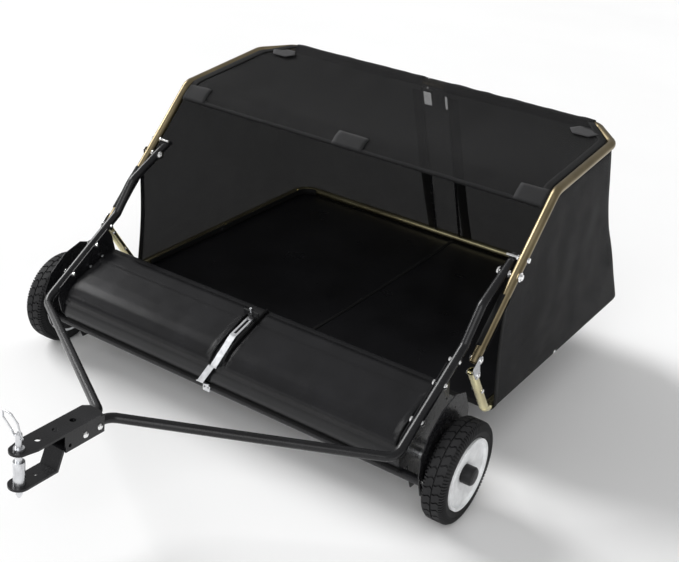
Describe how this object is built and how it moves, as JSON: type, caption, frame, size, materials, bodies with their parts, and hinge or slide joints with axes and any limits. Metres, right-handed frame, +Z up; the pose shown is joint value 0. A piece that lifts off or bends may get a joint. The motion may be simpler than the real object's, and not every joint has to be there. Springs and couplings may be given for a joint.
{
  "type": "lawn sweeper",
  "caption": "tow-behind lawn sweeper: covered brush driven by the ground wheels, tipping framed fabric hopper behind it, and a V drawbar with a pin hitch",
  "frame": {"origin": "middle of the bounding box on the ground under the machine", "axes": "+Z up, -Y toward the hitch and the direction of travel, +Y toward the back of the hopper, X along the wheel axle"},
  "size_m": [1.469, 2.1064, 0.8214],
  "materials": {
    "black_paint": "satin",
    "zinc": "satin",
    "bright_bolts": "gloss",
    "white_plastic": "satin",
    "tyre": "matte",
    "black_plastic": "matte",
    "bristle": "matte",
    "pinion_steel": "satin",
    "bronze_tube": "satin",
    "bag_fabric": "matte",
    "bag_mesh": "matte",
    "bag_sheet": "gloss"
  },
  "bodies": {
    "frame": {"cover_left": "black_paint", "cover_right": "black_paint", "front_apron": "black_paint", "side_plate_left": "black_paint", "side_plate_right": "black_paint", "cross_stiffener": "black_paint", "axle_left": "zinc", "axle_right": "zinc", "axle_sleeves": "zinc", "drawbar_left": "black_paint", "drawbar_right": "black_paint", "hitch_channel": "black_paint", "hitch_upper_strap": "black_paint", "hitch_lower_bracket": "black_paint", "hitch_bolts": "bright_bolts", "frame_bolts": "bright_bolts", "cover_screws": "zinc", "arm_left": "black_paint", "arm_right": "black_paint", "pivot_bolts": "bright_bolts", "pin_spacer": "zinc"},
    "left_wheel": {"wheel_disc_left": "white_plastic", "tyre_left": "tyre", "ring_gear_left": "black_plastic", "hub_cap_left": "black_plastic"},
    "right_wheel": {"wheel_disc_right": "white_plastic", "tyre_right": "tyre", "ring_gear_right": "black_plastic", "hub_cap_right": "black_plastic"},
    "brush_carrier": {"hanger_left": "black_paint", "hanger_right": "black_paint", "front_tube": "black_paint", "tube_end_caps": "bright_bolts", "height_lever": "zinc", "lever_stud": "zinc"},
    "bushes": {"shaft_bushes": "black_plastic"},
    "knob": {"lever_knob": "black_plastic"},
    "brush": {"brush_shaft": "zinc", "brush_discs": "zinc", "brush_holders": "zinc", "bristle_rows": "bristle"},
    "left_pinion": {"pinion_left": "pinion_steel"},
    "right_pinion": {"pinion_right": "pinion_steel"},
    "pin": {"hitch_pin": "zinc"},
    "loop": {"pin_loop": "zinc"},
    "hopper": {"top_tube_left": "bronze_tube", "top_tube_right": "bronze_tube", "lower_tube_left": "bronze_tube", "lower_tube_right": "bronze_tube", "rear_tube": "bronze_tube", "joint_brackets": "zinc", "hem_rod": "bronze_tube", "back_rods": "black_paint", "bag_top": "bag_fabric", "bag_back": "bag_mesh", "bag_side_left": "bag_mesh", "bag_side_right": "bag_mesh", "bag_floor": "bag_sheet", "hem_tabs": "bag_fabric", "hopper_bolts": "bright_bolts"}
  },
  "joints": [
    {"name": "left_wheel_spin", "type": "hinge", "parent": "frame", "child": "left_wheel", "pos_m": [-0.684, -0.18965, 0.14], "axis": [1, 0, 0], "continuous": true},
    {"name": "right_wheel_spin", "type": "hinge", "parent": "frame", "child": "right_wheel", "pos_m": [0.684, -0.18965, 0.14], "axis": [1, 0, 0], "continuous": true},
    {"name": "height_adjust", "type": "hinge", "parent": "frame", "child": "brush_carrier", "pos_m": [0, -0.18965, 0.14], "axis": [1, 0, 0], "range_deg": [0, 11.25]},
    {"name": "knob_turn", "type": "hinge", "parent": "brush_carrier", "child": "knob", "pos_m": [0, -0.15965, 0.3097], "axis": [0, -0.3134, 0.9496], "range_deg": [-180, 180]},
    {"name": "brush_spin", "type": "hinge", "parent": "brush_carrier", "child": "brush", "pos_m": [0, -0.12513, 0.13208], "axis": [1, 0, 0], "continuous": true},
    {"name": "bush_roll", "type": "hinge", "parent": "brush_carrier", "child": "bushes", "pos_m": [0, -0.12513, 0.13208], "axis": [1, 0, 0], "range_deg": [-60, 0]},
    {"name": "left_pinion_spin", "type": "hinge", "parent": "bushes", "child": "left_pinion", "pos_m": [-0.661, -0.12513, 0.13208], "axis": [1, 0, 0], "continuous": true},
    {"name": "right_pinion_spin", "type": "hinge", "parent": "bushes", "child": "right_pinion", "pos_m": [0.661, -0.12513, 0.13208], "axis": [1, 0, 0], "continuous": true},
    {"name": "hopper_dump", "type": "hinge", "parent": "frame", "child": "hopper", "pos_m": [0, 0.10935, 0.55901], "axis": [1, 0, 0], "range_deg": [0, 75]},
    {"name": "pin_lift", "type": "slide", "parent": "frame", "child": "pin", "axis": [0, 0, 1], "range_m": [0, 0.14]},
    {"name": "loop_swing", "type": "hinge", "parent": "pin", "child": "loop", "pos_m": [0, -1.02165, 0.322], "axis": [1, 0, 0], "range_deg": [-75, 55]}
  ],
  "couplings": [
    {"joint": "left_pinion_spin", "follows": "left_wheel_spin", "ratio": 5.3333},
    {"joint": "right_pinion_spin", "follows": "right_wheel_spin", "ratio": 5.3333},
    {"joint": "brush_spin", "follows": "right_wheel_spin", "ratio": 5.3333},
    {"joint": "bush_roll", "follows": "height_adjust", "ratio": -5.3333}
  ]
}
